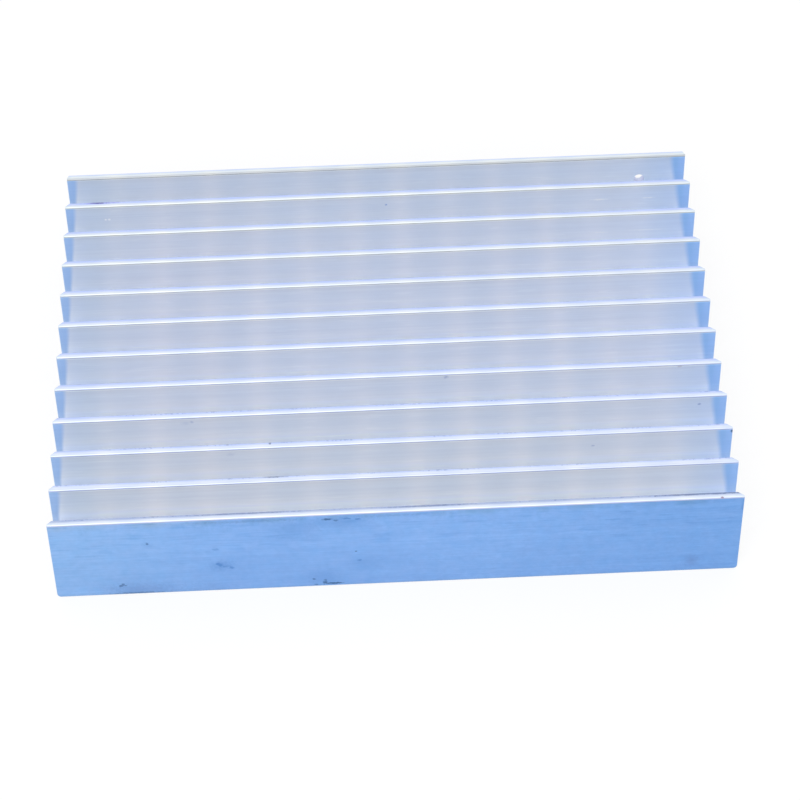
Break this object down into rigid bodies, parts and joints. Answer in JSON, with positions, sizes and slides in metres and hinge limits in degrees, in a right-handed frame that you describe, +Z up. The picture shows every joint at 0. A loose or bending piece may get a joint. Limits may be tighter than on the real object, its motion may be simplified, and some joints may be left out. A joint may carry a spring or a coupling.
{
  "type": "extruded heat sink",
  "caption": "Finned aluminium extrusion that draws heat from electronics fixed under its flat base: straight tapered fins, square sawn ends, and a small hole drilled through an outer fin.",
  "frame": {"origin": "middle of the flat underside of the base plate", "axes": "+X along the fins, +Y across the fins towards the drilled outer fin, +Z up from the base plate to the fin tips"},
  "size_m": [0.15, 0.1128, 0.0238],
  "materials": {
    "aluminium": "bare extruded aluminium with fine lines along its length, sawn at both ends, with a few light smudges"
  },
  "bodies": {
    "root": {"heat_sink": "aluminium"}
  },
  "joints": []
}
